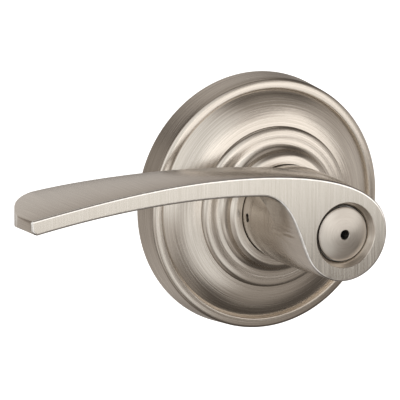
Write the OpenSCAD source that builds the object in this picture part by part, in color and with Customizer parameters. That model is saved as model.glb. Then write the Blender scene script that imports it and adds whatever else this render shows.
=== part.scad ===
// Outside half of a privacy door lever set: round rose, lever, return spring, catch and release rod.
// Bench frame: x to the right, y up, z outward from the door. Each node is then stood up, so that
// +Z is up, -Y is outward and the door face is the plane y = 0. The spindle axis passes the origin.

/* [Rose] */
// Outer radius of the rose at the door
rose_r = 38; // [37.5:0.1:38.4]
// Height of the collar ring above the door
rose_h = 20; // [19.8:0.1:20.2]
// Radius of the hole that the lever neck turns in
rose_hole_r = 14; // [13.95:0.05:14.1]
// Sheet thickness of the rose
rose_wall = 0.9; // [0.8:0.05:1]

/* [Lever] */
// Height of the lever's front face above the door
lever_h = 57.4; // [57:0.1:58]
// Radius of the neck where it enters the rose
neck_r = 13.7; // [13.5:0.05:13.75]
// Radius of the neck at its middle
neck_mid_r = 14.4; // [14.2:0.1:14.5]
// Distance from the spindle axis to the lever's tip
lever_reach = 101.9; // [100:0.1:104]
// Radius of the recess edge on the front face
recess_r = 9.64; // [9.4:0.02:9.8]
// Radius of the round insert in the recess
disc_r = 7.9; // [7.7:0.05:8]
// Radius of the release pinhole
pinhole_r = 1.4; // [1.2:0.05:1.5]

/* [Door fixing] */
// Distance between the two threaded posts
post_spacing = 38.1; // [37.6:0.1:38.6]
// Length of the posts inside the door
post_len = 26; // [22:1:30]
// Radius of the tapped hole in a post
post_tap_r = 1.9; // [1.7:0.05:2.1]
// Radius of the collar that centres the plate in the door's bore
spigot_r = 26.6; // [26.2:0.1:26.8]
// Length of that collar
spigot_len = 3; // [2:0.5:4]

/* [Spindle] */
// Side of the square spindle
spindle_side = 7.8; // [7.6:0.1:8]
// Length of the spindle inside the door
spindle_len = 42; // [38:1:48]
// Radius of the release rod
rod_r = 2; // [1.9:0.02:2.02]

/* [Hidden] */
$fn = 96;
eps = 0.01;
curve_steps = 12;

plate_t = 1.6;
plate_r = 35.6;
plate_rim_h = 4.4;
plate_hole_r = 12;

housing_r = 21.5;
housing_wall = 2;
housing_top = 12.2;
housing_base_t = 1.8;
ear_t = 2;
screw_pitch_r = 24.2;
screw_angles = [45, 165, 285];
stop_r = 17.9;
stop_half_angle = 22;
stop_top = 5.6;

bearing_r = 12.4;
bearing_bottom = 5.8;
bearing_top = 18;
running_gap = 0.08;

hub_r = 10.2;
hub_bore_r = 8.7;
hub_bottom = 2.4;
hub_floor_top = 5.4;
hub_top = 44;

cam_bottom = 3.4;
cam_t = 1.8;
cam_r = 14;
cam_ear_r = 18.9;
cam_ear_half_angle = 12;
tab_half_angle = 6;

coil_r = 14.2;
coil_wire_r = 0.65;
coil_bottom = 6.5;
coil_pitch = 1.5;
leg_angle = 10;
leg_end_r = 18.6;

neck_bottom = 18.4;
blade_bottom = 25;
insert_bore_r = 8.3;
insert_floor = 46.5;
lever_bore_r = 10.28;

disc_bottom = 54.2;
disc_edge_h = 55.6;
disc_crown = 1.4;
dome_r = (disc_r * disc_r + disc_crown * disc_crown) / (2 * disc_crown);

catch_h = 23.6;
catch_hole_r = 1.3;
catch_tip = 13.4;
catch_back = 5.6;
catch_face = 8;

rod_head_r = 3.2;
rod_head_front = 49.9;
rod_head_t = 3;
rod_guide_bottom = 32;
rod_guide_top = 36;

// Bench frame to the part's frame
module stand() {
    rotate([90, 0, 0]) children();
}

module at_h(h) {
    translate([0, 0, h]) children();
}

// Plain washer or tube between two heights
module tube(r_in, r_out, h0, h1) {
    at_h(h0) difference() {
        cylinder(r = r_out, h = h1 - h0);
        translate([0, 0, -1]) cylinder(r = r_in, h = h1 - h0 + 2);
    }
}

// Sector of a tube, centred on an angle
module sector(r_in, r_out, h0, h1, angle, half_angle) {
    intersection() {
        tube(r_in, r_out, h0, h1);
        at_h(h0 - 1) rotate([0, 0, angle]) linear_extrude(h1 - h0 + 2)
            polygon([[0, 0], 2 * r_out * [cos(half_angle), -sin(half_angle)],
                     2 * r_out * [cos(half_angle), sin(half_angle)]]);
    }
}

// Points of a cubic curve, without its last point
function curve(a, b, c, d, n = curve_steps) = [
    for (i = [0:n - 1]) let (t = i / n, s = 1 - t)
        s * s * s * a + 3 * s * s * t * b + 3 * s * t * t * c + t * t * t * d
];

// The same curve moved sideways by a distance, to the right of its direction
function beside(a, b, c, d, gap, n = curve_steps) = [
    for (i = [0:n]) let (
        t = i / n,
        s = 1 - t,
        point = s * s * s * a + 3 * s * s * t * b + 3 * s * t * t * c + t * t * t * d,
        along = s * s * (b - a) + 2 * s * t * (c - b) + t * t * (d - c)
    ) point + gap * [along[1], -along[0]] / norm(along)
];

// Rose profile as [radius, height], from the door inward
rose_corner = [rose_r - 0.6, 8];
bead_crest = [35.3, 9.3];
bead_root = [34.1, 8.5];
swell_edge = [24.06, 13.6];
ring_step_crest = [20.8, 15.3];
collar_foot = [17.3, 18.9];
collar_edge = [16.6, rose_h - 0.5];

bead_out = [rose_corner, [37.3, 8.9], [36.2, 9.3], bead_crest];
bead_in = [bead_crest, [34.6, 9.3], [34.3, 9.0], bead_root];
swell = [bead_root, [32.5, 10], [29.6, 12.6], swell_edge];
ring_step = [swell_edge, [23.9, 14.9], [22.4, 15.3], ring_step_crest];
riser = [ring_step_crest, [18.6, 15.3], [17.5, 16.4], collar_foot];

function whole(c) = curve(c[0], c[1], c[2], c[3]);
function inner(c) = beside(c[0], c[1], c[2], c[3], -rose_wall);
function reversed(list) = [for (i = [len(list) - 1:-1:0]) list[i]];

rose_outline = concat(
    [[rose_r, 0]],
    whole(bead_out), whole(bead_in), whole(swell), whole(ring_step), whole(riser),
    [collar_foot, collar_edge, [rose_hole_r, rose_h]],
    [[rose_hole_r, rose_h - 1.6], [rose_hole_r + rose_wall, rose_h - 1.6]],
    [[rose_hole_r + rose_wall, rose_h - 1.1], [collar_edge[0] - 0.7, rose_h - 1.5]],
    reversed(inner(riser)), reversed(inner(swell)),
    [[34.7, 7.8], [35.8, 8.2], [rose_corner[0] - rose_wall, 7.4], [rose_r - rose_wall, 0]]
);

module rosette() {
    color("tan") stand() rotate_extrude() polygon(rose_outline);
}

// Steel plate behind the rose, with the collar that centres it in the door
module mounting_plate() {
    color("silver") stand() difference() {
        union() {
            tube(plate_hole_r, plate_r, 0, plate_t);
            tube(plate_r - 1.2, plate_r, plate_t - eps, plate_rim_h);
            tube(spigot_r - 1.6, spigot_r, -spigot_len, eps);
        }
        for (side = [-1, 1])
            translate([side * post_spacing / 2, 0, -1]) cylinder(r = 2.6, h = plate_t + 2);
        for (a = screw_angles) rotate([0, 0, a])
            translate([screw_pitch_r, 0, -spigot_len - 1]) cylinder(r = 1.25, h = 10);
        for (a = screw_angles) rotate([0, 0, a + 60])
            translate([plate_r - 2, -3.2, plate_t + 0.4]) cube([3, 6.4, plate_rim_h]);
    }
}

// Two posts with tapped ends, riveted to the plate
module mounting_posts() {
    color("lightgray") stand() for (side = [-1, 1])
        translate([side * post_spacing / 2, 0, 0]) difference() {
            union() {
                at_h(-post_len) cylinder(r = 4, h = post_len);
                cylinder(r = 2.6, h = plate_t);
                at_h(plate_t) intersection() {
                    cylinder(r1 = 3.6, r2 = 2.6, h = 1);
                    cylinder(r = 3.4, h = 1);
                }
            }
            at_h(-post_len - 1) cylinder(r = post_tap_r, h = post_len - 5);
        }
}

// Spring steel clips in the plate's rim that hold the rose
module rosette_clips() {
    color("dimgray") stand() for (a = screw_angles) rotate([0, 0, a + 60])
        translate([0, 2.6, 0]) rotate([90, 0, 0]) linear_extrude(5.2)
            polygon([[32.4, 2.1], [34.8, 2.1], [34.8, 3.4], [36.3, 4.6], [36.3, 5.4], [35.2, 6],
                     [34.9, 5.7], [35.8, 5.1], [34.2, 3.7], [34.2, 2.6], [32.4, 2.6]]);
}

// Cast housing with the two stops for the cam and the fixed tab for the spring
module spring_housing() {
    color("gray") stand() difference() {
        union() {
            tube(housing_r - housing_wall, housing_r, plate_t, housing_top);
            tube(bearing_r, housing_r - eps, housing_top - housing_base_t, housing_top);
            difference() {
                for (a = screw_angles) rotate([0, 0, a]) hull() {
                    translate([screw_pitch_r, 0, plate_t]) cylinder(r = 2.9, h = ear_t, $fn = 32);
                    translate([housing_r - 1, 0, plate_t]) cylinder(r = 4, h = ear_t, $fn = 32);
                }
                cylinder(r = housing_r - 1, h = housing_top);
            }
            for (a = [90, 270]) sector(stop_r, housing_r - 1, plate_t, stop_top, a, stop_half_angle);
            sector(stop_r, housing_r - 1, stop_top - eps, housing_top - 1, 90, 5);
        }
        for (a = screw_angles) rotate([0, 0, a])
            translate([screw_pitch_r, 0, 0]) cylinder(r = 1.5, h = 10);
        for (side = [-1, 1]) translate([side * post_spacing / 2, 0, 0]) cylinder(r = 3.9, h = 3.2);
    }
}

// Three screws that hold the housing to the plate
module housing_screws() {
    color("silver") stand() for (a = screw_angles) rotate([0, 0, a])
        translate([screw_pitch_r, 0, 0]) difference() {
            union() {
                cylinder(r = 1.2, h = plate_t + ear_t);
                at_h(plate_t + ear_t) cylinder(r = 2.6, h = 1.2);
                at_h(plate_t + ear_t + 1.2) cylinder(r1 = 2.6, r2 = 1.8, h = 0.5);
            }
            at_h(plate_t + ear_t + 0.8) for (turn = [0, 90]) rotate([0, 0, turn])
                translate([-1.5, -0.3, 0]) cube([3, 0.6, 2]);
        }
}

// Bush that the hub turns in
module hub_bearing() {
    color("goldenrod") stand() difference() {
        union() {
            tube(hub_r + running_gap, bearing_r, bearing_bottom, bearing_top);
            tube(bearing_r - 1, bearing_r + 1.4, housing_top, housing_top + 0.8);
        }
        tube(bearing_r, bearing_r + 3, 0, bearing_bottom + 0.5);
    }
}

// Torsion spring as a swept wire: leg, coil, leg
wire_sides = 8;
coil_turns = 2 + 2 * leg_angle / 360;
coil_rings = 52;
function on_coil(k) = let (a = 90 - leg_angle + 360 * coil_turns * k / coil_rings)
    [coil_r * cos(a), coil_r * sin(a), coil_bottom + coil_pitch * coil_turns * k / coil_rings];
first_leg = [leg_end_r * cos(90 - leg_angle), leg_end_r * sin(90 - leg_angle), coil_bottom];
last_leg = [leg_end_r * cos(90 + leg_angle), leg_end_r * sin(90 + leg_angle),
            coil_bottom + coil_pitch * coil_turns];
return_path = concat([first_leg], [for (k = [0:coil_rings]) on_coil(k)], [last_leg]);

// Wire of round section along a path: rings of points joined by quads, with flat ends
module wire(path, r, sides = wire_sides) {
    last = len(path) - 1;
    rings = [
        for (i = [0:last]) let (
            ahead = path[min(i + 1, last)] - path[max(i - 1, 0)],
            t = ahead / norm(ahead),
            side_raw = cross(t, [0, 0, 1]),
            u = side_raw / norm(side_raw),
            v = cross(u, t)
        ) for (s = [0:sides - 1]) path[i] + r * (cos(360 * s / sides) * u + sin(360 * s / sides) * v)
    ];
    faces = concat(
        [[for (s = [0:sides - 1]) s]],
        [for (i = [0:last - 1]) for (s = [0:sides - 1]) let (n = (s + 1) % sides)
            [i * sides + s, (i + 1) * sides + s, (i + 1) * sides + n, i * sides + n]],
        [[for (s = [sides - 1:-1:0]) last * sides + s]]
    );
    polyhedron(points = rings, faces = faces);
}

module return_spring() {
    color("dimgray") stand() wire(return_path, coil_wire_r);
}

// Flat washer between the cam and the bush
module thrust_washer() {
    color("silver") stand() tube(hub_r + 0.15, 13, cam_bottom + cam_t + 0.12, bearing_bottom - 0.1);
}

// Front outline of the lever: top edge, end face, lower edge, S-bend and back into the head
tip = -lever_reach;
crest = [-44, 20.55];
head_top = [13.3, 3.3];
head_low = [-12.5, -5.6];
bend_end = [-28, 14.2];
front_outline = concat(
    curve([tip, 14.7], [-82, 17.7], [-63, 20.45], crest),
    curve(crest, [-22, 20.7], [9.7, 17.85], head_top),
    [head_top, [0, 0]],
    curve(head_low, [-15.8, 1.7], [-18, 13.6], bend_end),
    curve(bend_end, [-48, 16], [-72, 15], [tip + 2.1, 10.3]),
    [[tip + 2.1, 10.3], [tip + 0.7, 11], [tip, 12]]
);

// Plan of the blade: depth of its back edge along the reach
corner_start = [tip, 49];
corner_end = [-88.2, 30.3];
blade_root = [-23, 42.8];
plan_outline = concat(
    [[tip - 1, lever_h], [tip - 1, corner_start[1]], corner_start],
    curve(corner_start, [tip + 1.3, 43.5], [-95.9, 31.6], corner_end),
    curve(corner_end, [-74, 31.2], [-56, 38.6], blade_root),
    [blade_root, [-6, 41.8], [neck_mid_r + 2, 41.8], [neck_mid_r + 2, lever_h]]
);

// Neck and head as a turned body, [radius, height]
neck_profile = concat(
    [[0, neck_bottom], [neck_r, neck_bottom]],
    curve([neck_r, 20.4], [neck_r + 0.1, 22], [neck_mid_r, 24], [neck_mid_r, 28], 6),
    curve([neck_mid_r, 36], [neck_mid_r, 44], [neck_r, 50], [neck_r, lever_h - 1], 6),
    [[neck_r, lever_h - 1], [neck_r, lever_h], [0, lever_h]]
);

// Concave flare from the neck to the blade
flare_profile = concat(
    [[0, 34]],
    curve([neck_mid_r - 0.3, 35], [neck_mid_r, 41], [17.5, 45.5], [25, 48.6], 8),
    [[25, 48.6], [25, lever_h], [0, lever_h]]
);

module blade() {
    intersection() {
        at_h(blade_bottom) linear_extrude(lever_h - blade_bottom) polygon(front_outline);
        union() {
            translate([0, neck_r * 2, 0]) rotate([90, 0, 0])
                linear_extrude(neck_r * 4) polygon(plan_outline);
            rotate_extrude() polygon(flare_profile);
        }
    }
}

// Cast lever: blade, head, neck, hub bore, insert recess and catch hole
module lever() {
    color("wheat") stand() difference() {
        union() {
            rotate_extrude() polygon(neck_profile);
            blade();
        }
        at_h(neck_bottom - 1) cylinder(r = 12, h = 2.4);
        at_h(neck_bottom - 1) cylinder(r = lever_bore_r, h = hub_top + 0.6 - neck_bottom + 1);
        at_h(hub_top) cylinder(r = 3.7, h = 5);
        at_h(insert_floor) cylinder(r = insert_bore_r, h = 20);
        at_h(lever_h - 2.2) cylinder(r1 = insert_bore_r, r2 = recess_r, h = 2.2);
        at_h(lever_h - eps) cylinder(r = recess_r, h = 1);
        at_h(catch_h) rotate([0, -90, 0]) cylinder(r = catch_hole_r, h = neck_mid_r + 1);
    }
}

// Steel hub: tube with a floor that holds the spindle, and the window for the catch
module drive_hub() {
    color("silver") stand() difference() {
        at_h(hub_bottom) cylinder(r = hub_r, h = hub_top - hub_bottom);
        at_h(hub_floor_top) cylinder(r = hub_bore_r, h = hub_top);
        at_h(hub_bottom - 1) translate([-spindle_side / 2 - 0.05, -spindle_side / 2 - 0.05, 0])
            cube([spindle_side + 0.1, spindle_side + 0.1, 5]);
        translate([-hub_r - 1, -0.85, catch_h - 1.3]) cube([hub_r, 1.7, 2.6]);
        tube(hub_r - 0.8, hub_r + 1, bearing_top + 0.2, bearing_top + 1.3);
    }
}

// Cam on the hub: two ears meet the stops, and the upright tab carries the spring's legs
module drive_cam() {
    color("slategray") stand() {
        tube(hub_r, cam_r, cam_bottom, cam_bottom + cam_t);
        for (a = [0, 180])
            sector(cam_r - 1, cam_ear_r, cam_bottom, cam_bottom + cam_t, a, cam_ear_half_angle);
        sector(cam_r - 1, 17.4, cam_bottom, cam_bottom + cam_t, 90, tab_half_angle);
        sector(15.6, 17.4, cam_bottom, 10, 90, tab_half_angle);
    }
}

// Open ring in a groove, r_in to r_out
module open_ring(r_in, r_out, h0, h1, gap_angle) {
    difference() {
        tube(r_in, r_out, h0, h1);
        at_h(h0 - 1) linear_extrude(h1 - h0 + 2)
            polygon([[0, 0], 2 * r_out * [cos(-gap_angle), sin(-gap_angle)],
                     2 * r_out * [cos(gap_angle), sin(gap_angle)]]);
    }
}

module hub_circlip() {
    color("dimgray") stand() open_ring(hub_r - 0.75, hub_r + 1.3, bearing_top + 0.25,
                                       bearing_top + 1.25, 20);
}

// Square spindle, bored for the release rod, with a groove for its clip
module spindle() {
    color("lightgray") stand() difference() {
        union() {
            at_h(-spindle_len) translate([-spindle_side / 2, -spindle_side / 2, 0])
                cube([spindle_side, spindle_side, spindle_len + hub_floor_top]);
            at_h(hub_floor_top - eps) cylinder(r = spindle_side / 2, h = 6);
        }
        at_h(-spindle_len - 1) cylinder(r = rod_r + running_gap, h = spindle_len + 20);
        tube(spindle_side / 2 - 0.7, spindle_side, hub_floor_top + 0.2, hub_floor_top + 1.3);
    }
}

module spindle_clip() {
    color("dimgray") stand() open_ring(spindle_side / 2 - 0.65, 7, hub_floor_top + 0.25,
                                       hub_floor_top + 1.25, 30);
}

// Bush in the hub that guides the release rod and seats its spring
module rod_guide() {
    color("ivory") stand() union() {
        tube(rod_r + running_gap, hub_bore_r, rod_guide_bottom, rod_guide_top);
        tube(hub_bore_r - 1.2, hub_bore_r, rod_guide_top - eps, hub_top - 1);
    }
}

// Plug behind the insert disc: it leads a pin to the head of the release rod
module pin_guide() {
    color("dimgray") stand() difference() {
        at_h(insert_floor) cylinder(r = insert_bore_r - 0.1, h = 6.7);
        at_h(insert_floor - 1) cylinder(r = rod_head_r + 0.3, h = 4.7);
        at_h(insert_floor) cylinder(r = pinhole_r + 0.1, h = 10);
        at_h(insert_floor + 5.2) cylinder(r1 = pinhole_r, r2 = pinhole_r + 1.6, h = 1.6);
    }
}

// Snap ring between the plug and the disc
module insert_ring() {
    color("gray") stand() open_ring(7, insert_bore_r - 0.1, insert_floor + 6.8, insert_floor + 7.6, 12);
}

// Domed disc with the pinhole
module insert_disc() {
    color("wheat") stand() difference() {
        union() {
            at_h(disc_bottom) cylinder(r = disc_r, h = disc_edge_h - disc_bottom);
            intersection() {
                at_h(disc_edge_h + disc_crown - dome_r) sphere(r = dome_r, $fn = 160);
                at_h(disc_edge_h - eps) cylinder(r = disc_r, h = 2);
            }
        }
        at_h(disc_bottom - 1) cylinder(r = pinhole_r, h = 5);
    }
}

// Spring ring that holds the catch outward
module catch_spring() {
    color("dimgray") stand() rotate([0, 0, 180])
        open_ring(hub_bore_r - 0.85, hub_bore_r - 0.05, catch_h - 1, catch_h + 1, 25);
}

// Catch: block inside the hub, neck in the window and tongue in the lever's hole
module lever_catch() {
    color("darkkhaki") stand() union() {
        translate([-catch_face, -2.6, catch_h - 2.2]) cube([catch_face - catch_back, 5.2, 4.4]);
        translate([-catch_tip, -0.5, catch_h - 0.9]) cube([catch_tip - catch_face + 1, 1, 1.8]);
    }
}

// Rod that carries a pin's push through the spindle
module release_rod() {
    color("silver") stand() difference() {
        union() {
            at_h(-spindle_len - 2) cylinder(r = rod_r, h = spindle_len + 2 + rod_head_front - 1);
            at_h(rod_head_front - rod_head_t) cylinder(r = rod_head_r, h = rod_head_t);
        }
        at_h(rod_head_front - 0.8) cylinder(r1 = 0.4, r2 = 1.6, h = 0.8 + eps);
        tube(rod_r - 0.5, rod_r + 1, rod_guide_bottom - 1.1, rod_guide_bottom - 0.2);
    }
}

// Compression spring on the rod
push_turns = 6;
push_rings = 84;
push_wire_r = 0.3;
push_r = 2.62;
push_low = rod_guide_top + push_wire_r + 0.05;
push_high = rod_head_front - rod_head_t - push_wire_r - 0.05;
push_path = [for (k = [0:push_rings]) let (a = 360 * push_turns * k / push_rings)
    [push_r * cos(a), push_r * sin(a), push_low + (push_high - push_low) * k / push_rings]];
module release_spring() {
    color("dimgray") stand() wire(push_path, push_wire_r, 6);
}

module rod_clip() {
    color("dimgray") stand() open_ring(rod_r - 0.45, 4, rod_guide_bottom - 1.05,
                                       rod_guide_bottom - 0.25, 35);
}

rosette();
mounting_plate();
mounting_posts();
rosette_clips();
spring_housing();
housing_screws();
hub_bearing();
return_spring();
thrust_washer();
lever();
drive_hub();
drive_cam();
hub_circlip();
spindle();
spindle_clip();
rod_guide();
pin_guide();
insert_ring();
insert_disc();
catch_spring();
lever_catch();
release_rod();
release_spring();
rod_clip();
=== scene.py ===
"""Looks of the privacy door lever: a turned rose, a lever with softened edges, brushed nickel."""
import math

import bmesh
import bpy
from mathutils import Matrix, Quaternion, Vector


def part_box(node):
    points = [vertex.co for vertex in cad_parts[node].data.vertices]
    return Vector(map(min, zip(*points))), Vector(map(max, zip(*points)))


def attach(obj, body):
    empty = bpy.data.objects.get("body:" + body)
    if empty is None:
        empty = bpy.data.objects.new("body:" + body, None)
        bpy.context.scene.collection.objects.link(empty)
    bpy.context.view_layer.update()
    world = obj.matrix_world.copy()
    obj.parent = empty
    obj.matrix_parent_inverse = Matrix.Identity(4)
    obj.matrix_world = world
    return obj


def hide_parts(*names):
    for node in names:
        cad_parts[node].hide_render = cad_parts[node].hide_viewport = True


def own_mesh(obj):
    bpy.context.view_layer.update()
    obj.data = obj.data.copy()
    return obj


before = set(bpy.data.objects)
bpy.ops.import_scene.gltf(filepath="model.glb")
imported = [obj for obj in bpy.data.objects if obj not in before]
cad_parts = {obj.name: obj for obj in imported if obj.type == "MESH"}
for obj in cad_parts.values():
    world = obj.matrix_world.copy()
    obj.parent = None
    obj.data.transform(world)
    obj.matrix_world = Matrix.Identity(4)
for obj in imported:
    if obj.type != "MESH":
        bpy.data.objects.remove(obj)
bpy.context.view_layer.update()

MM = 0.001
TURNS = 192  # segments round a turned piece


# ---- camera -------------------------------------------------------------------------------
AZIMUTH = math.radians(-28.106)
ELEVATION = math.radians(12.403)
DISTANCE = 2.3613
LENS = 731.54
AIM = Vector((-0.0305, -0.025, 0.00731))


def make_camera():
    """Camera at the photo's angle, from far away as the photo's circles show."""
    data = bpy.data.cameras.new("camera")
    data.lens = LENS
    data.sensor_width = 36
    data.clip_start = 0.1
    data.clip_end = 60
    camera = bpy.data.objects.new("camera", data)
    bpy.context.scene.collection.objects.link(camera)
    back = Vector((
        math.sin(AZIMUTH) * math.cos(ELEVATION),
        -math.cos(AZIMUTH) * math.cos(ELEVATION),
        math.sin(ELEVATION),
    ))
    camera.location = AIM + back * DISTANCE
    camera.rotation_mode = "QUATERNION"
    camera.rotation_quaternion = (-back).to_track_quat("-Z", "Y")
    bpy.context.scene.camera = camera


make_camera()


# ---- sizes, in mm, as in the CAD model ----------------------------------------------------
ROSE_R = 38.0
ROSE_H = 20.0
HOLE_R = 14.0
LIP_R = 13.84  # rolled lip at the mouth of the hole
SHEET = 0.9

TIP = -101.9
LEVER_H = 57.4
HEAD_R = 13.7
NECK_MID_R = 14.4
NECK_BOTTOM = 18.4
NECK_END_R = 13.45
NECK_END_H = 53.0
HEAD_TOP = (13.3, 3.3)  # x and z where the crest's curve meets the head
HEAD_LOW = (-12.5, -5.6)  # x and z where the throat's curve leaves the head
SLAB_BACK = 25.0  # height where the plate that becomes the lever starts
CLEAR = 5.0  # how far a cutting body reaches past what it cuts
EDGE_R = 0.65  # rounding of the front edge
BACK_EDGE_R = 0.7  # rounding of the blade's back edges
RECESS_R = 9.64
INSERT_BORE_R = 8.3
INSERT_FLOOR = 46.5
HUB_BORE_R = 10.28
HUB_BORE_TOP = 44.6
HUB_MOUTH_R = 12.0
HUB_MOUTH_TOP = 19.8
PIN_HOLE_R = 3.7
DISC_R = 7.9
DISC_EDGE_H = 55.6
DISC_CROWN = 1.4
DISC_BOTTOM = 54.2
PINHOLE_R = 1.4
CATCH_H = 23.6
CATCH_HOLE_R = 1.3
SPRING_WIRE_R = 0.3
SPRING_TURNS = 6


def curve(a, b, c, d, steps):
    """Points of a cubic curve, without its last point."""
    points = []
    for i in range(steps):
        t = i / steps
        s = 1 - t
        points.append(tuple(
            s**3 * a[k] + 3 * s * s * t * b[k] + 3 * s * t * t * c[k] + t**3 * d[k] for k in range(2)
        ))
    return points


# ---- mesh helpers -------------------------------------------------------------------------
def new_object(name, bm):
    """A scene object from a bmesh, which is freed."""
    mesh = bpy.data.meshes.new(name)
    bm.normal_update()
    bm.to_mesh(mesh)
    bm.free()
    obj = bpy.data.objects.new(name, mesh)
    bpy.context.scene.collection.objects.link(obj)
    return obj


def smooth(obj, degrees):
    """Smooth shading with sharp edges where faces meet at more than an angle."""
    mesh = obj.data
    mesh.polygons.foreach_set("use_smooth", [True] * len(mesh.polygons))
    bm = bmesh.new()
    bm.from_mesh(mesh)
    limit = math.radians(degrees)
    for e in bm.edges:
        e.smooth = len(e.link_faces) != 2 or e.calc_face_angle(0) < limit
    bm.to_mesh(mesh)
    bm.free()


def place(x, z, h):
    """A point at x across, z up and h above the door, in mm, in the scene's metres."""
    return Vector((x * MM, -h * MM, z * MM))


def lathe(name, profile, material=0):
    """Closed body of revolution about the spindle axis, from (radius, height) points in mm."""
    bm = bmesh.new()
    rings = []
    for r, h in profile:
        if r == 0:
            rings.append([bm.verts.new(place(0, 0, h))])
            continue
        angles = (2 * math.pi * k / TURNS for k in range(TURNS))
        rings.append([bm.verts.new(place(r * math.cos(a), r * math.sin(a), h)) for a in angles])
    closed = profile[0][0] != 0
    pairs = list(zip(rings, rings[1:])) + ([(rings[-1], rings[0])] if closed else [])
    for low, high in pairs:
        for k in range(TURNS):
            n = (k + 1) % TURNS
            corners = [low[k % len(low)], low[n % len(low)], high[n % len(high)], high[k % len(high)]]
            face = bm.faces.new(list(dict.fromkeys(corners)))
            face.material_index = material
    bmesh.ops.recalc_face_normals(bm, faces=bm.faces)
    return new_object(name, bm)


def inset(loop, distance):
    """The closed outline moved inward; the outline runs clockwise."""
    moved = []
    for i, (x, z) in enumerate(loop):
        (ax, az), (bx, bz) = loop[i - 1], loop[(i + 1) % len(loop)]
        before = Vector((x - ax, z - az)).normalized()
        after = Vector((bx - x, bz - z)).normalized()
        along = (before + after).normalized()
        reach = distance / max(along.dot(after), 0.5)
        moved.append((x + along.y * reach, z - along.x * reach))
    return moved


def combine(obj, operation, other):
    """Applies an exact boolean and removes the other object."""
    modifier = obj.modifiers.new("cut", "BOOLEAN")
    modifier.operation = operation
    modifier.solver = "EXACT"
    modifier.object = other
    graph = bpy.context.evaluated_depsgraph_get()
    mesh = bpy.data.meshes.new_from_object(obj.evaluated_get(graph))
    obj.modifiers.clear()
    old = obj.data
    obj.data = mesh
    bpy.data.meshes.remove(old)
    bpy.data.objects.remove(other)


# ---- rose ---------------------------------------------------------------------------------
def rose_profile():
    """Outer face from the door to the lip of the hole, then the sheet's inner face back."""
    draft, side_top, side_steps = 0.6, 8.0, 4
    corner = (ROSE_R - draft, side_top)
    crest = (34.7, 9.3)
    root = (34.35, 8.5)
    swell_edge = (24.06, 13.6)
    step_crest = (20.8, 15.3)
    foot = (17.3, 18.9)
    edge = (16.6, ROSE_H - 0.5)
    outer = [
        (ROSE_R - draft * k / side_steps, side_top * k / side_steps) for k in range(side_steps)
    ]
    outer += curve(corner, (37.3, 8.9), (36.2, 9.3), crest, 14)
    outer += curve(crest, (34.55, 9.3), (34.45, 9.0), root, 12)
    outer += curve(root, (32.5, 10.0), (29.6, 12.6), swell_edge, 40)
    outer += curve(swell_edge, (23.9, 14.9), (22.4, 15.3), step_crest, 20)
    outer += curve(step_crest, (18.6, 15.3), (17.5, 16.4), foot, 20)
    outer += [foot, edge, (16.3, ROSE_H - 0.3), (15.8, ROSE_H - 0.12), (LIP_R + 0.1, ROSE_H)]
    outer += [(LIP_R, ROSE_H - 0.1)]
    inner = [
        (LIP_R, ROSE_H - 0.6), (HOLE_R, ROSE_H - 0.8), (HOLE_R, ROSE_H - 1.6),
        (HOLE_R + SHEET, ROSE_H - 1.6), (HOLE_R + SHEET, ROSE_H - 1.1), (16.0, ROSE_H - 1.5),
        (16.5, 17.6), (18.0, 15.2), (20.8, 14.4), (23.2, 14.0), (23.6, 12.7), (26.4, 12.1),
        (28.8, 11.0), (30.8, 10.0), (33.4, 7.8), (34.7, 7.8), (35.8, 8.2), (36.5, 7.4),
        (ROSE_R - SHEET, 0.0),
    ]
    return outer + inner


# ---- lever --------------------------------------------------------------------------------
def head_arc():
    """Clockwise arc of the head, at the same angles as the turned pieces."""
    step = 360 / TURNS
    first = math.degrees(math.atan2(HEAD_TOP[1], HEAD_TOP[0]))
    last = math.degrees(math.atan2(HEAD_LOW[1], HEAD_LOW[0]))
    count = int(first // step) - int(last // step)
    degrees = [(first // step - k) * step for k in range(count)]
    return [
        (HEAD_R * math.cos(math.radians(a)), HEAD_R * math.sin(math.radians(a))) for a in degrees
    ]


def front_outline():
    """Outline of the lever seen from the front, clockwise from the tip."""
    crest = (-44.0, 20.55)
    bend_end = (-28.0, 14.2)
    nose_top, nose_low = (TIP + 0.9, 14.84), (TIP + 2.1, 10.3)
    loop = curve((TIP, 13.9), (TIP, 14.5), (TIP + 0.3, 14.76), nose_top, 5)
    loop += curve(nose_top, (-82.0, 17.75), (-63.0, 20.45), crest, 46)
    loop += curve(crest, (-22.0, 20.7), (9.7, 17.85), HEAD_TOP, 56)
    loop += head_arc()
    loop += curve(HEAD_LOW, (-15.8, 1.7), (-18.0, 13.6), bend_end, 28)
    loop += curve(bend_end, (-48.0, 16.0), (-72.0, 15.0), nose_low, 54)
    loop += curve(nose_low, (TIP + 1.1, 10.5), (TIP, 11.3), (TIP, 12.3), 6)
    return loop


def lever_slab():
    """The front outline as a thick plate with a rounded front edge."""
    outline = front_outline()
    steps = 5
    levels = [(0.0, SLAB_BACK), (0.0, LEVER_H - EDGE_R)]
    for k in range(1, steps + 1):
        a = math.pi / 2 * k / steps
        levels.append((EDGE_R * (1 - math.cos(a)), LEVER_H - EDGE_R * (1 - math.sin(a))))
    levels.append((EDGE_R + 0.06, LEVER_H))
    bm = bmesh.new()
    loops = [[bm.verts.new(place(x, z, h)) for x, z in inset(outline, d)] for d, h in levels]
    count = len(outline)
    for row, (low, high) in enumerate(zip(loops, loops[1:])):
        for k in range(count):
            n = (k + 1) % count
            face = bm.faces.new([low[k], low[n], high[n], high[k]])
            # the rounding's rows take material 3, the lighter nickel that paints a highlight along the
            # front edge
            face.material_index = 1 if row == 0 else 3
    bm.faces.new(loops[0]).material_index = 1
    bm.faces.new(loops[-1]).material_index = 0
    bmesh.ops.recalc_face_normals(bm, faces=bm.faces)
    return new_object("lever_skin", bm)


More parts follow.
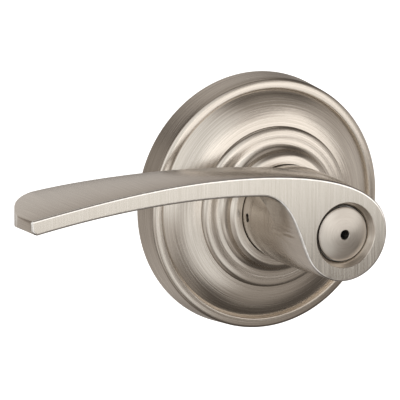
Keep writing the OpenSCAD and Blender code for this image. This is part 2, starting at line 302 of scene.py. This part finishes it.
def plan_body():
    """Everything in front of the blade's back edge, as a plate seen from above."""
    end_h = 49.0
    corner_end = (-88.2, 30.3)
    root = (-23.0, 42.8)
    flat = (-6.0, 41.8)
    outline = [(TIP - 1, LEVER_H + CLEAR), (TIP - 1, end_h)]
    outline += curve((TIP - 0.02, end_h), (TIP + 1.3, 43.5), (-95.9, 31.6), corner_end, 16)
    outline += curve(corner_end, (-74.0, 31.2), (-56.0, 38.6), root, 40)[:-2]
    blend = [(root[k] + flat[k]) / 2 for k in range(2)]
    outline += curve(outline[-1], root, root, blend, 12)[1:] + [blend]
    outline += [flat, (NECK_MID_R + 2, flat[1]), (NECK_MID_R + 2, LEVER_H + CLEAR)]
    bm = bmesh.new()
    reach = 2 * HEAD_R
    low, high = [[bm.verts.new(place(x, z, h)) for x, h in outline] for z in (-reach, reach)]
    bm.faces.new(low)
    bm.faces.new(high)
    for k in range(len(outline)):
        n = (k + 1) % len(outline)
        bm.faces.new([low[k], low[n], high[n], high[k]])
    for face in bm.faces:
        face.material_index = 1
    bmesh.ops.recalc_face_normals(bm, faces=bm.faces)
    return new_object("plan_body", bm)


def flare_body():
    """Concave flare from the neck to the blade."""
    rim = (25.0, 48.6)
    top = LEVER_H + 4
    profile = [(0, 34)] + curve((13.4, 35.5), (14.3, 41.0), (17.5, 45.5), rim, 24)
    return lathe("flare_body", profile + [rim, (rim[0], top), (0, top)], 1)


def neck_body():
    """Round neck, slightly swollen in the middle, with a small chamfer at the rose."""
    chamfer = 0.2
    middle, end = (NECK_MID_R, 28.0), (NECK_END_R, NECK_END_H)
    profile = [(0, NECK_BOTTOM), (HEAD_R - chamfer, NECK_BOTTOM), (HEAD_R, NECK_BOTTOM + chamfer)]
    profile += curve((HEAD_R, 20.4), (HEAD_R + 0.1, 22.0), (NECK_MID_R, 24.0), middle, 10)
    profile += curve(middle, (NECK_MID_R, 38.0), (14.2, 46.0), end, 16)
    return lathe("neck_body", profile + [end, (0, NECK_END_H)], 2)


def bore_body():
    """All that is turned out of the lever: hub bore, insert bore and the recess with its rim."""
    rim = 0.25
    profile = [
        (0, NECK_BOTTOM - 1), (HUB_MOUTH_R, NECK_BOTTOM - 1), (HUB_MOUTH_R, HUB_MOUTH_TOP),
        (HUB_BORE_R, HUB_MOUTH_TOP), (HUB_BORE_R, HUB_BORE_TOP), (PIN_HOLE_R, HUB_BORE_TOP),
        (PIN_HOLE_R, INSERT_FLOOR), (INSERT_BORE_R, INSERT_FLOOR),
        (INSERT_BORE_R, LEVER_H - 2.2), (RECESS_R - 0.1, LEVER_H - rim),
        (RECESS_R - 0.02, LEVER_H - 0.1), (RECESS_R + rim, LEVER_H + rim - 0.1), (0, LEVER_H + 1),
    ]
    return lathe("bore_body", profile, 2)


def catch_hole():
    """Small round window for the catch, in the left side of the neck."""
    bm = bmesh.new()
    bmesh.ops.create_cone(
        bm, cap_ends=True, segments=48, radius1=CATCH_HOLE_R * MM, radius2=CATCH_HOLE_R * MM,
        depth=10 * MM)
    obj = new_object("catch_hole", bm)
    for face in obj.data.polygons:
        face.material_index = 2
    obj.rotation_euler = (0, math.pi / 2, 0)
    obj.location = place(-NECK_MID_R, 0, CATCH_H)
    bpy.context.view_layer.update()
    return obj


def round_back_edges(obj):
    """Rounds the long edges where the lever's side walls meet its back."""
    sharp = math.radians(38)
    front = 52 * MM  # the slab's own rounded edge lies in front of this
    neck_r = (NECK_MID_R + 0.6) * MM
    bm = bmesh.new()
    bm.from_mesh(obj.data)
    bmesh.ops.remove_doubles(bm, verts=bm.verts, dist=0.01 * MM)
    edges = []
    for edge in bm.edges:
        if len(edge.link_faces) != 2 or edge.calc_face_angle(0) < sharp:
            continue
        middle = (edge.verts[0].co + edge.verts[1].co) / 2
        if -middle.y < front and math.hypot(middle.x, middle.z) > neck_r:
            edges.append(edge)
    bmesh.ops.bevel(
        bm, geom=edges, offset=BACK_EDGE_R * MM, offset_type="OFFSET", segments=3, profile=0.5,
        affect="EDGES", clamp_overlap=True, material=-1)
    bm.to_mesh(obj.data)
    bm.free()


def make_lever():
    """Plate cut to its plan outline and flare, then the neck added and the bores cut."""
    lever = lever_slab()
    kept = plan_body()
    combine(kept, "UNION", flare_body())
    combine(lever, "INTERSECT", kept)
    combine(lever, "UNION", neck_body())
    combine(lever, "DIFFERENCE", bore_body())
    combine(lever, "DIFFERENCE", catch_hole())
    round_back_edges(lever)
    return lever


# ---- insert -------------------------------------------------------------------------------
def disc_profile():
    """Domed disc, part of a ball, with a broken rim and a pinhole with a broken mouth."""
    rim, mouth, steps = 0.2, 0.15, 24
    ball = (DISC_R**2 + DISC_CROWN**2) / (2 * DISC_CROWN)
    centre = DISC_EDGE_H + DISC_CROWN - ball
    dome = []
    for k in range(steps + 1):
        r = DISC_R - rim - (DISC_R - rim - PINHOLE_R - mouth) * k / steps
        dome.append((r, centre + math.sqrt(ball**2 - r**2)))
    base = [(PINHOLE_R, DISC_BOTTOM), (DISC_R, DISC_BOTTOM), (DISC_R, DISC_EDGE_H - rim / 2)]
    return base + dome + [(PINHOLE_R, dome[-1][1] - mouth)]


# ---- release spring -----------------------------------------------------------------------
def wire_coil(name, turns, wire, low, high):
    """Compression spring along y between two corners: close end turns, open turns between."""
    radius = (high.x - low.x) / 2 - wire
    first, travel = low.y + wire, high.y - low.y - 2 * wire
    per_turn, sides = 28, 10
    closing = 0.65  # share of the pitch that the end turns give up
    bm = bmesh.new()
    rings = []
    for k in range(turns * per_turn + 1):
        t = k / (turns * per_turn)
        a = 2 * math.pi * k / per_turn
        rise = t - closing * math.sin(2 * math.pi * t) / (2 * math.pi)
        outward = Vector((math.cos(a), 0, math.sin(a)))
        centre = radius * outward + Vector((0, first + travel * rise, 0))
        ring = []
        for n in range(sides):
            b = 2 * math.pi * n / sides
            ring.append(bm.verts.new(
                centre + wire * (math.cos(b) * outward + math.sin(b) * Vector((0, 1, 0)))))
        rings.append(ring)
    for low_ring, high_ring in zip(rings, rings[1:]):
        for n in range(sides):
            m = (n + 1) % sides
            bm.faces.new([low_ring[n], low_ring[m], high_ring[m], high_ring[n]])
    bm.faces.new(rings[0])
    bm.faces.new(rings[-1])
    bmesh.ops.recalc_face_normals(bm, faces=bm.faces)
    return new_object(name, bm)


# ---- materials ----------------------------------------------------------------------------
class Nodes:
    """Small helper that adds and links shader nodes."""

    def __init__(self, tree):
        self.tree = tree

    def add(self, kind, **values):
        node = self.tree.nodes.new(kind)
        for key, value in values.items():
            setattr(node, key, value)
        return node

    def feed(self, node, *values):
        """Fills a node's first inputs with links or plain values."""
        for socket, value in zip(node.inputs, values):
            if isinstance(value, bpy.types.NodeSocket):
                self.tree.links.new(value, socket)
            else:
                socket.default_value = value
        return node.outputs[0]

    def math(self, operation, *values):
        return self.feed(self.add("ShaderNodeMath", operation=operation), *values)

    def vector_math(self, operation, *values):
        return self.feed(self.add("ShaderNodeVectorMath", operation=operation), *values)

    def vector(self, x, y, z):
        return self.feed(self.add("ShaderNodeCombineXYZ"), x, y, z)

    def place(self):
        """The point in the piece's own frame, as x, y and z sockets in mm."""
        where = self.add("ShaderNodeTexCoord").outputs["Object"]
        split = self.add("ShaderNodeSeparateXYZ")
        self.feed(split, self.vector_math("MULTIPLY", where, (1 / MM,) * 3))
        return split.outputs

    def noise(self, vector, detail, w=None):
        node = self.add("ShaderNodeTexNoise", noise_dimensions="3D" if w is None else "4D")
        self.tree.links.new(vector, node.inputs["Vector"])
        if w is not None:
            self.tree.links.new(w, node.inputs["W"])
        node.inputs["Scale"].default_value = 1.0
        node.inputs["Detail"].default_value = detail
        return node.outputs[0]

    def spread(self, value, low, high):
        """Maps a noise value, mostly between 0.3 and 0.7, to a range."""
        return self.feed(self.add("ShaderNodeMapRange"), value, 0.3, 0.7, low, high)

    def mix_colour(self, factor, a, b):
        node = self.add("ShaderNodeMix", data_type="RGBA")
        self.tree.links.new(factor, node.inputs["Factor"])
        node.inputs[6].default_value = (*a, 1)
        node.inputs[7].default_value = (*b, 1)
        return node.outputs[2]

    def bump(self, height, depth):
        node = self.add("ShaderNodeBump")
        node.inputs["Strength"].default_value = 1.0
        node.inputs["Distance"].default_value = depth * MM
        self.tree.links.new(height, node.inputs["Height"])
        return node.outputs[0]


def metal(name):
    """A new metallic material, its shader node and a node helper."""
    material = bpy.data.materials.new(name)
    material.use_nodes = True
    shader = material.node_tree.nodes["Principled BSDF"]
    shader.inputs["Metallic"].default_value = 1.0
    return material, shader, Nodes(material.node_tree)


# Lightest and darkest colour of the strokes
NICKEL = (0.68, 0.626, 0.56)
NICKEL_DARK = (0.54, 0.487, 0.43)
NICKEL_FACE = (0.68, 0.645, 0.585)
NICKEL_FACE_DARK = (0.54, 0.505, 0.45)
NICKEL_ROSE = (0.73, 0.672, 0.60)
NICKEL_ROSE_DARK = (0.48, 0.43, 0.375)
NICKEL_DISC = (0.53, 0.49, 0.44)
NICKEL_DISC_DARK = (0.43, 0.39, 0.345)


def brushed_nickel(
        name, direction, roughness=0.22, anisotropy=0.45, depth=0.006, light=NICKEL, dark=NICKEL_DARK):
    """Satin nickel with strokes that run round the axis, up the face or through the depth."""
    material, shader, n = metal(name)
    x, y, z = n.place()
    if direction == "round":
        fine, turn = 3.8, 1.6  # noise steps per mm across the strokes, per radian along them
        radius = n.math("SQRT", n.math("ADD", n.math("MULTIPLY", x, x), n.math("MULTIPLY", z, z)))
        across = n.math("MULTIPLY", radius, fine)
        where = n.vector(
            across, n.math("MULTIPLY", n.math("DIVIDE", x, radius), turn),
            n.math("MULTIPLY", n.math("DIVIDE", z, radius), turn))
        depth_w = n.math("MULTIPLY", y, fine)
        strokes = n.noise(where, 4.0, depth_w)
        bands = n.noise(n.vector_math("MULTIPLY", where, (0.25, 0.8, 0.8)), 2.0,
                        n.math("MULTIPLY", depth_w, 0.25))
        aim = n.add("ShaderNodeTangent", direction_type="RADIAL", axis="Y").outputs[0]
        shader.inputs["Anisotropic Rotation"].default_value = 0.25
    else:
        fine, along = 2.8, 0.07  # noise steps per mm across the strokes and along them
        scale = (fine, fine, along) if direction == "up" else (fine, along, fine)
        where = n.vector_math("MULTIPLY", n.vector(x, y, z), scale)
        strokes = n.noise(where, 3.0)
        bands = n.noise(n.vector_math("MULTIPLY", where, (0.25,) * 3), 2.0)
        turn_axis = (1, 0, 0) if direction == "up" else (0, 1, 0)
        aim = n.feed(
            n.add("ShaderNodeVectorTransform", vector_type="VECTOR", convert_from="OBJECT",
                  convert_to="WORLD"), turn_axis)
        shader.inputs["Anisotropic Rotation"].default_value = 0.0 if direction == "up" else 0.25
    mixed = n.math("ADD", n.math("MULTIPLY", strokes, 0.75), n.math("MULTIPLY", bands, 0.25))
    n.tree.links.new(
        n.mix_colour(n.spread(mixed, 0.0, 1.0), dark, light), shader.inputs["Base Color"])
    n.tree.links.new(n.spread(mixed, roughness - 0.04, roughness + 0.05), shader.inputs["Roughness"])
    n.tree.links.new(n.bump(strokes, depth), shader.inputs["Normal"])
    n.tree.links.new(aim, shader.inputs["Tangent"])
    shader.inputs["Anisotropic"].default_value = anisotropy
    return material


def grained(name, colour, roughness, metallic=1.0, depth=0.006):
    """Plated, cast or moulded surface with a fine grain; nylon when metallic is 0."""
    material, shader, n = metal(name)
    shader.inputs["Metallic"].default_value = metallic
    per_mm = 0.9
    grain = n.noise(n.vector_math("MULTIPLY", n.vector(*n.place()), (per_mm,) * 3), 3.0)
    dark = tuple(0.8 * c for c in colour)
    n.tree.links.new(n.mix_colour(n.spread(grain, 0.0, 1.0), dark, colour), shader.inputs["Base Color"])
    n.tree.links.new(n.spread(grain, roughness - 0.05, roughness + 0.05), shader.inputs["Roughness"])
    n.tree.links.new(n.bump(grain, depth), shader.inputs["Normal"])
    return material


# ---- light and floor ----------------------------------------------------------------------
def heading(azimuth, elevation):
    """Unit vector: azimuth from the front towards the right, elevation up, in degrees."""
    a, e = math.radians(azimuth), math.radians(elevation)
    return Vector((math.sin(a) * math.cos(e), -math.cos(a) * math.cos(e), math.sin(e)))


# Soft patches of the studio: azimuth, elevation, inner and outer angle, grey level
PATCHES = [
    (-30, 22, 20, 48, 0.95),
    (-72, 28, 12, 36, 0.40),
    (28, 20, 18, 42, 0.32),
    (70, 2, 10, 36, 0.45),
    (-68, -14, 16, 40, 0.60),
    (-6, -28, 10, 26, 0.95),
    (30, -40, 10, 28, 0.27),
    (-80, -55, 10, 34, 0.32),
    (100, -10, 12, 34, 0.20),
    (132, -20, 14, 34, 0.34),
    (160, 74, 16, 36, 0.40),
    (176, 14, 12, 36, 0.58),
    (-130, 4, 12, 34, 0.24),
    (-167, -26, 12, 34, 0.42),
]
STUDIO_BASE = 0.09
SHADE_TINT = (1.12, 0.98, 0.86)  # darker parts of the studio are warmer
LIGHT_TINT = (0.99, 1.0, 1.0)


def make_world():
    """A dim warm studio with soft bright patches, seen in the metal's reflections."""
    world = bpy.data.worlds.new("studio")
    bpy.context.scene.world = world
    world.use_nodes = True
    n = Nodes(world.node_tree)
    look = n.add("ShaderNodeTexCoord").outputs["Generated"]
    total = STUDIO_BASE
    for azimuth, elevation, inner, outer, level in PATCHES:
        facing = n.add("ShaderNodeVectorMath", operation="DOT_PRODUCT")
        n.feed(facing, look, heading(azimuth, elevation))
        patch = n.feed(
            n.add("ShaderNodeMapRange", interpolation_type="SMOOTHSTEP"), facing.outputs["Value"],
            math.cos(math.radians(outer)), math.cos(math.radians(inner)), 0.0, level)
        total = n.math("ADD", patch, total)
    tint = n.mix_colour(total, SHADE_TINT, LIGHT_TINT)
    background = world.node_tree.nodes["Background"]
    n.tree.links.new(
        n.vector_math("MULTIPLY", tint, n.vector(total, total, total)), background.inputs["Color"])


def soft_box(name, azimuth, elevation, distance, width, height, roll, level):
    """Area light that faces the lever's head, of an even grey level as seen in a mirror."""
    data = bpy.data.lights.new(name, "AREA")
    data.shape = "RECTANGLE"
    data.size = width
    data.size_y = height
    data.energy = level * math.pi * width * height
    light = bpy.data.objects.new(name, data)
    bpy.context.scene.collection.objects.link(light)
    away = heading(azimuth, elevation)
    light.location = Vector((0, -LEVER_H * MM, 0)) + away * distance
    light.rotation_mode = "QUATERNION"
    light.rotation_quaternion = away.to_track_quat("Z", "Y") @ Quaternion((0, 0, 1), math.radians(roll))
    light.visible_camera = False


def white_surround(name, bm):
    """White object of the studio that no surface of the part reflects or is lit by."""
    surround = new_object(name, bm)
    material = bpy.data.materials.new(name + "_white")
    material.use_nodes = True
    shader = material.node_tree.nodes["Principled BSDF"]
    shader.inputs["Base Color"].default_value = (0.9, 0.9, 0.9, 1)
    shader.inputs["Roughness"].default_value = 0.9
    shader.inputs["Emission Color"].default_value = (1, 1, 1, 1)
    shader.inputs["Emission Strength"].default_value = 1.0
    surround.data.materials.append(material)
    surround.visible_glossy = False
    surround.visible_diffuse = False
    return surround


def make_floor():
    """Wide white floor below the part."""
    half, drop = 30.0, 0.5
    bm = bmesh.new()
    corners = [(-half, -half), (half, -half), (half, half), (-half, half)]
    bm.faces.new([bm.verts.new((x, y, -drop)) for x, y in corners])
    white_surround("floor", bm)


def make_backdrop():
    """White ball round the scene, so that low views have no horizon."""
    bm = bmesh.new()
    bmesh.ops.create_uvsphere(bm, u_segments=48, v_segments=24, radius=5.0)
    white_surround("backdrop", bm).visible_shadow = False


make_world()
soft_box("key", azimuth=24, elevation=9, distance=0.28, width=0.36, height=0.22, roll=12, level=1.1)
make_floor()
make_backdrop()
bpy.context.scene.view_settings.view_transform = "Standard"


# ---- pieces -------------------------------------------------------------------------------
def finish_piece(piece, body, node, slot, *materials):
    """Gives a new piece its materials and its body, and hides the CAD node it replaces; its slot is not
    used.
    """
    for material in materials:
        piece.data.materials.append(material)
    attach(piece, body)
    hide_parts(node)


nickel_turned = brushed_nickel(
    "nickel_turned", "round", roughness=0.24, anisotropy=0.4, depth=0.03, light=NICKEL_ROSE,
    dark=NICKEL_ROSE_DARK)
nickel_face = brushed_nickel("nickel_face", "up", light=NICKEL_FACE, dark=NICKEL_FACE_DARK)
nickel_neck = brushed_nickel("nickel_neck", "round", depth=0.002)
nickel_side = brushed_nickel("nickel_side", "through")
nickel_disc = brushed_nickel(
    "nickel_disc", "round", roughness=0.34, anisotropy=0.3, depth=0.008, light=NICKEL_DISC,
    dark=NICKEL_DISC_DARK)
# Rounded front edge: a much lighter copy of the nickel, a painted highlight along the edge
painted_highlight_edge = grained("painted_highlight_edge", (0.88, 0.85, 0.81), 0.16)

rose = lathe("rose", rose_profile())
smooth(rose, 24)
finish_piece(rose, "rose", "rosette", "satin_nickel_rose", nickel_turned)

lever = make_lever()
smooth(lever, 32)
finish_piece(
    lever, "lever", "lever", "satin_nickel_lever", nickel_face, nickel_side, nickel_neck, painted_highlight_edge)

disc = lathe("disc", disc_profile())
smooth(disc, 32)
finish_piece(disc, "lever", "insert_disc", "satin_nickel_disc", nickel_disc)

zinc = grained("zinc_plate", (0.70, 0.71, 0.72), 0.30, depth=0.0015)
nickel_catch = grained("nickel_catch", (0.34, 0.31, 0.27), 0.3)
steel = grained("steel", (0.52, 0.52, 0.53), 0.34)
spring = grained("spring_steel", (0.30, 0.29, 0.28), 0.36)
cast = grained("cast_zinc", (0.45, 0.45, 0.45), 0.5)
bronze = grained("bronze", (0.60, 0.42, 0.20), 0.38)
white_nylon = grained("white_nylon", (0.75, 0.74, 0.70), 0.5, metallic=0.0)
black_nylon = grained("black_nylon", (0.02, 0.02, 0.02), 0.5, metallic=0.0)

low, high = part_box("release_spring")
push_spring = wire_coil("push_spring", SPRING_TURNS, SPRING_WIRE_R * MM, low, high)
smooth(push_spring, 50)
finish_piece(push_spring, "lever", "release_spring", "spring_steel", spring)
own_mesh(push_spring)

NODE_LOOKS = {
    "mounting_plate": zinc, "mounting_posts": zinc, "housing_screws": zinc, "spindle": steel,
    "drive_hub": steel, "drive_cam": steel, "release_rod": steel, "thrust_washer": steel,
    "spring_housing": cast, "hub_bearing": bronze, "rod_guide": white_nylon, "pin_guide": black_nylon,
    "lever_catch": nickel_catch,
}
for name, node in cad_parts.items():  # clips, rings and springs: spring steel
    node.data.materials.clear()
    node.data.materials.append(NODE_LOOKS.get(name, spring))
